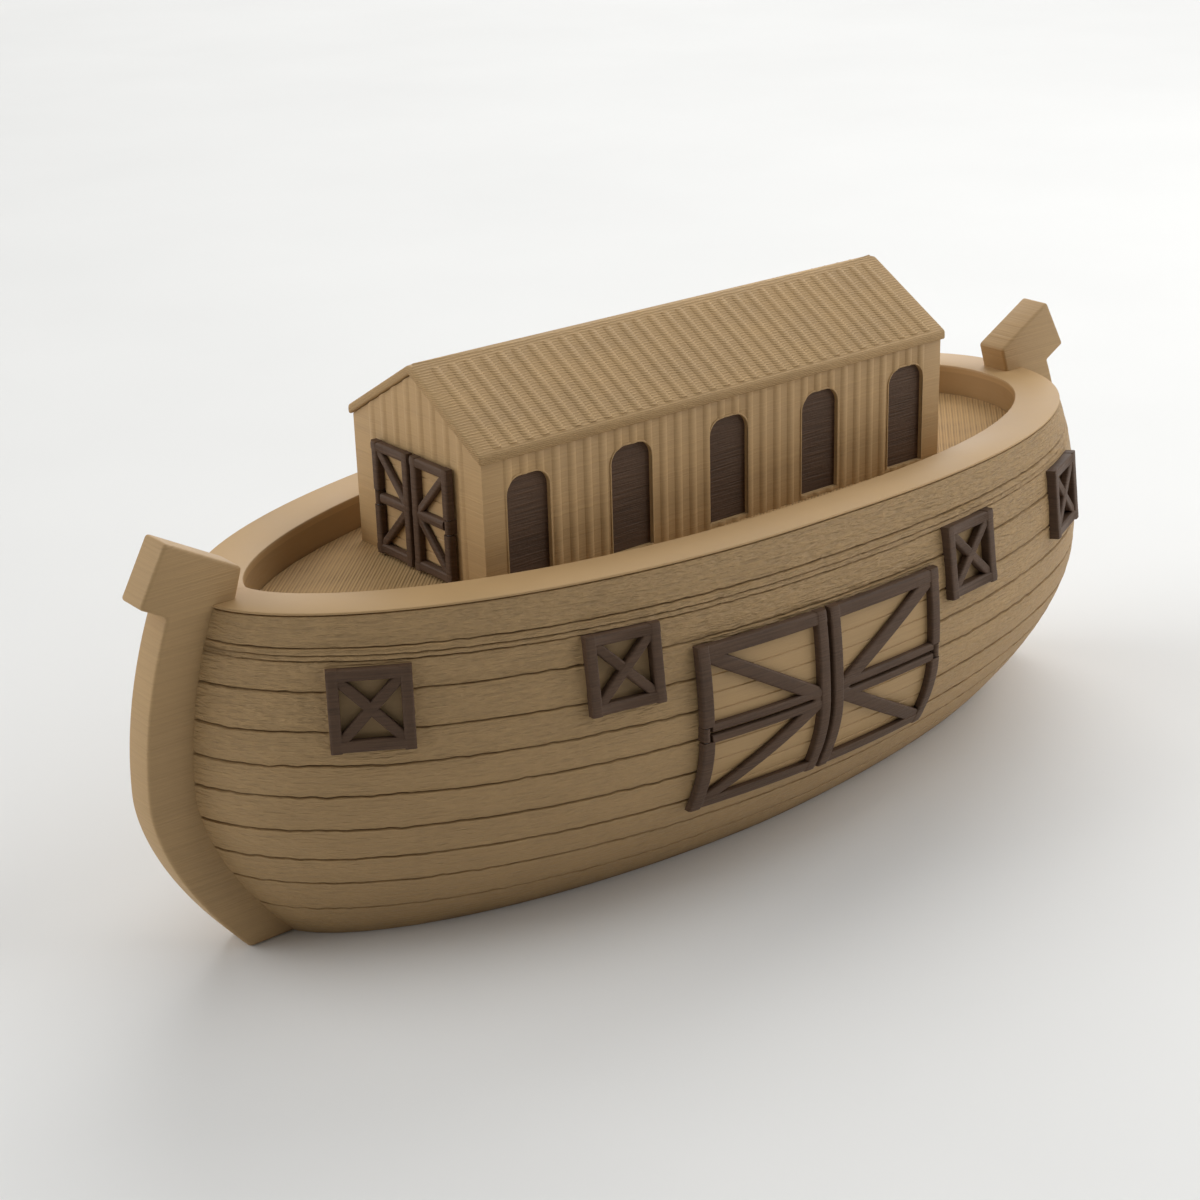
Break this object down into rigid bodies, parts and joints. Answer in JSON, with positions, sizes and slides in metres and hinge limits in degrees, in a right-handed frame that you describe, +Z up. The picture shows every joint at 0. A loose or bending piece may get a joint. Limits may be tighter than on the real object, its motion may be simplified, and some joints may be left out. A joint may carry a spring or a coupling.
{
  "type": "toy ark",
  "caption": "Toy ark: double-ended planked hull with curved posts, sunken deck and ribbed house under a lift-off gabled roof; braced cargo and cabin doors swing outwards.",
  "frame": {"origin": "centre of the overall box, on the ground under the hull's floor", "axes": "+X along the hull towards the stern, +Y to starboard, +Z up; the cargo doors face -Y and the cabin doors face -X"},
  "size_m": [0.16, 0.0669, 0.0682],
  "materials": {
    "tan_plastic": "printed wood-coloured plastic with fine layer lines",
    "brown_plastic": "printed dark brown plastic with fine layer lines",
    "steel_pin": "plain wire"
  },
  "bodies": {
    "ark": {"hull": "tan_plastic", "rail": "tan_plastic", "deck": "tan_plastic", "stem_post": "tan_plastic", "stern_post": "tan_plastic", "house": "tan_plastic", "hatch_panel_p1": "tan_plastic", "hatch_panel_p2": "tan_plastic", "hatch_panel_p3": "tan_plastic", "hatch_panel_p4": "tan_plastic", "hatch_panel_s1": "tan_plastic", "hatch_panel_s2": "tan_plastic", "hatch_panel_s3": "tan_plastic", "hatch_panel_s4": "tan_plastic", "hatch_frame_p1": "brown_plastic", "hatch_frame_p2": "brown_plastic", "hatch_frame_p3": "brown_plastic", "hatch_frame_p4": "brown_plastic", "hatch_frame_s1": "brown_plastic", "hatch_frame_s2": "brown_plastic", "hatch_frame_s3": "brown_plastic", "hatch_frame_s4": "brown_plastic", "window_p1": "brown_plastic", "window_p2": "brown_plastic", "window_p3": "brown_plastic", "window_p4": "brown_plastic", "window_p5": "brown_plastic", "window_s1": "brown_plastic", "window_s2": "brown_plastic", "window_s3": "brown_plastic", "window_s4": "brown_plastic", "window_s5": "brown_plastic", "cargo_knuckle_fore": "brown_plastic", "cargo_knuckle_aft": "brown_plastic", "cabin_knuckle_port": "brown_plastic", "cabin_knuckle_starboard": "brown_plastic", "cargo_pin_fore": "steel_pin", "cargo_pin_aft": "steel_pin", "cabin_pin_port": "steel_pin", "cabin_pin_starboard": "steel_pin"},
    "cargo_door_fore": {"cargo_frame_fore": "brown_plastic", "cargo_panel_fore": "tan_plastic"},
    "cargo_door_aft": {"cargo_frame_aft": "brown_plastic", "cargo_panel_aft": "tan_plastic"},
    "cabin_door_port": {"cabin_frame_port": "brown_plastic", "cabin_panel_port": "tan_plastic"},
    "cabin_door_starboard": {"cabin_frame_starboard": "brown_plastic", "cabin_panel_starboard": "tan_plastic"},
    "roof": {"roof": "tan_plastic"}
  },
  "joints": [
    {"name": "cargo_hinge_fore", "type": "hinge", "parent": "ark", "child": "cargo_door_fore", "pos_m": [-0.0198, -0.03233, 0.02415], "axis": [0, 0, -1], "range_deg": [0, 110]},
    {"name": "cargo_hinge_aft", "type": "hinge", "parent": "ark", "child": "cargo_door_aft", "pos_m": [0.0198, -0.03278, 0.02415], "axis": [0, 0, 1], "range_deg": [0, 110]},
    {"name": "cabin_hinge_port", "type": "hinge", "parent": "ark", "child": "cabin_door_port", "pos_m": [-0.03925, -0.0076, 0.04945], "axis": [0, 0, 1], "range_deg": [0, 110]},
    {"name": "cabin_hinge_starboard", "type": "hinge", "parent": "ark", "child": "cabin_door_starboard", "pos_m": [-0.03925, 0.0076, 0.04945], "axis": [0, 0, -1], "range_deg": [0, 110]},
    {"name": "roof_lift", "type": "slide", "parent": "ark", "child": "roof", "axis": [0, 0, 1], "range_m": [0, 0.03]}
  ]
}
